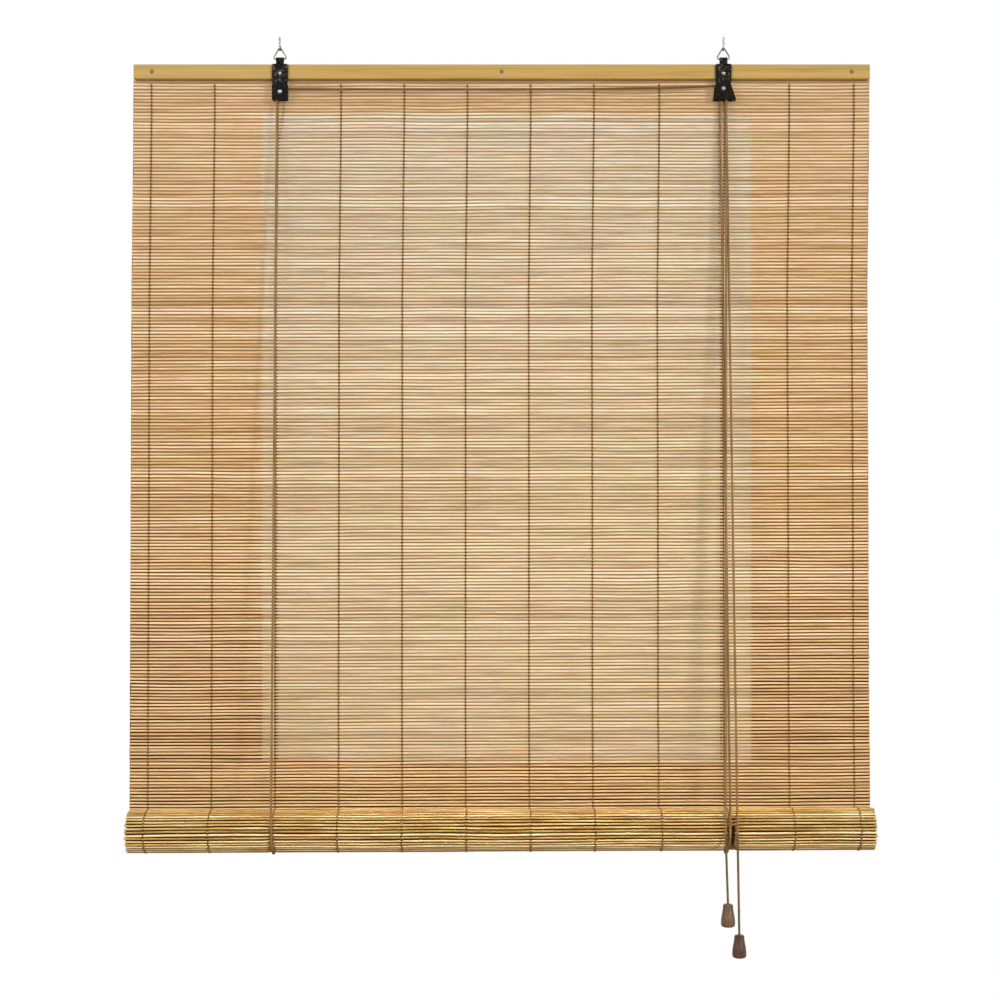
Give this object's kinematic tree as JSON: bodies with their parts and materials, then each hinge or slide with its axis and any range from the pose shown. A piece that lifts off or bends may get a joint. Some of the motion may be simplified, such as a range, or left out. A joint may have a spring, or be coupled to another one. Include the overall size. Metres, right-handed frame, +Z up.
{
  "type": "bamboo roll up blind",
  "caption": "Bamboo slat blind on a head rail with ring hangers, wound up from its foot by cord loops over pulleys and pull cords with wooden tassels.",
  "frame": {"origin": "midway between the two hook shanks, in the ceiling plane", "axes": "+X across the blind, -Y to the front, +Z up"},
  "size_m": [0.904, 0.0716, 1.114],
  "materials": {
    "steel": "polished wire",
    "leatherette": "black grained leatherette",
    "black_sheet": "black sheet with worn edges",
    "rail_bamboo": "planed bamboo, clear matt finish",
    "slat_bamboo": "split bamboo, uneven tan",
    "thread": "brown twisted thread",
    "rod_wood": "round wooden rod",
    "pulley_plastic": "brown moulded plastic",
    "roller_brass": "ridged brass",
    "cord": "olive brown braided cord",
    "left_tassel_wood": "stained and waxed wood",
    "right_tassel_wood": "dark stained and waxed wood"
  },
  "bodies": {
    "hooks": {"left_hook": "steel", "right_hook": "steel", "left_ring": "steel", "right_ring": "steel"},
    "head": {"left_tab": "leatherette", "right_tab": "leatherette", "tab_nails": "steel", "head_rail": "rail_bamboo", "rear_lath": "rail_bamboo", "rail_nails": "steel", "mat": "slat_bamboo", "warp_threads": "thread", "left_block": "black_sheet", "right_block": "black_sheet", "left_axle": "steel", "right_axle": "steel", "cord_staples": "steel", "left_rear_cord": "cord", "left_front_cord": "cord", "left_lead_cord": "cord", "right_rear_cord": "cord", "right_front_cord": "cord", "right_lead_cord": "cord", "left_pull_top": "cord", "right_pull_top": "cord"},
    "left_pulley": {"left_pulley": "pulley_plastic"},
    "right_pulley": {"right_pulley": "pulley_plastic"},
    "lock_roller": {"lock_roller": "roller_brass"},
    "slings": {"left_sling_cord": "cord", "right_sling_cord": "cord", "left_pull_end": "cord", "right_pull_end": "cord"},
    "roll": {"roll": "slat_bamboo", "roll_threads": "thread", "bottom_rod": "rod_wood"},
    "left_tassel": {"left_tassel": "left_tassel_wood", "left_knot": "cord"},
    "right_tassel": {"right_tassel": "right_tassel_wood", "right_knot": "cord"}
  },
  "joints": [
    {"name": "blind_swing", "type": "hinge", "parent": "hooks", "child": "head", "pos_m": [0, 0.003, -0.017], "axis": [1, 0, 0], "range_deg": [-45, 45]},
    {"name": "roll_lift", "type": "slide", "parent": "head", "child": "slings", "axis": [0, 0, 1], "range_m": [0, 0.84], "deforming": ["mat", "warp_threads", "left_rear_cord", "right_rear_cord", "left_front_cord", "right_front_cord", "left_pull_top", "right_pull_top"]},
    {"name": "roll_turn", "type": "hinge", "parent": "slings", "child": "roll", "pos_m": [0, -0.0137, -0.956], "axis": [1, 0, 0], "range_deg": [-1900, 0]},
    {"name": "left_pull", "type": "slide", "parent": "slings", "child": "left_tassel", "axis": [0, 0, 1], "range_m": [-2.53, 0], "deforming": ["left_pull_end"]},
    {"name": "right_pull", "type": "slide", "parent": "slings", "child": "right_tassel", "axis": [0, 0, 1], "range_m": [-2.53, 0], "deforming": ["right_pull_end"]},
    {"name": "left_pulley_spin", "type": "hinge", "parent": "head", "child": "left_pulley", "pos_m": [-0.271, 0.004, -0.057], "axis": [0, 1, 0], "continuous": true},
    {"name": "right_pulley_spin", "type": "hinge", "parent": "head", "child": "right_pulley", "pos_m": [0.271, 0.005, -0.053], "axis": [0, 1, 0], "continuous": true},
    {"name": "lock_release", "type": "slide", "parent": "head", "child": "lock_roller", "axis": [0.3256, 0, -0.9455], "range_m": [0, 0.006]}
  ],
  "couplings": [
    {"joint": "roll_turn", "follows": "roll_lift", "rad_per_m": -38.462},
    {"joint": "left_pull", "follows": "roll_lift", "ratio": -3},
    {"joint": "right_pull", "follows": "roll_lift", "ratio": -3}
  ]
}
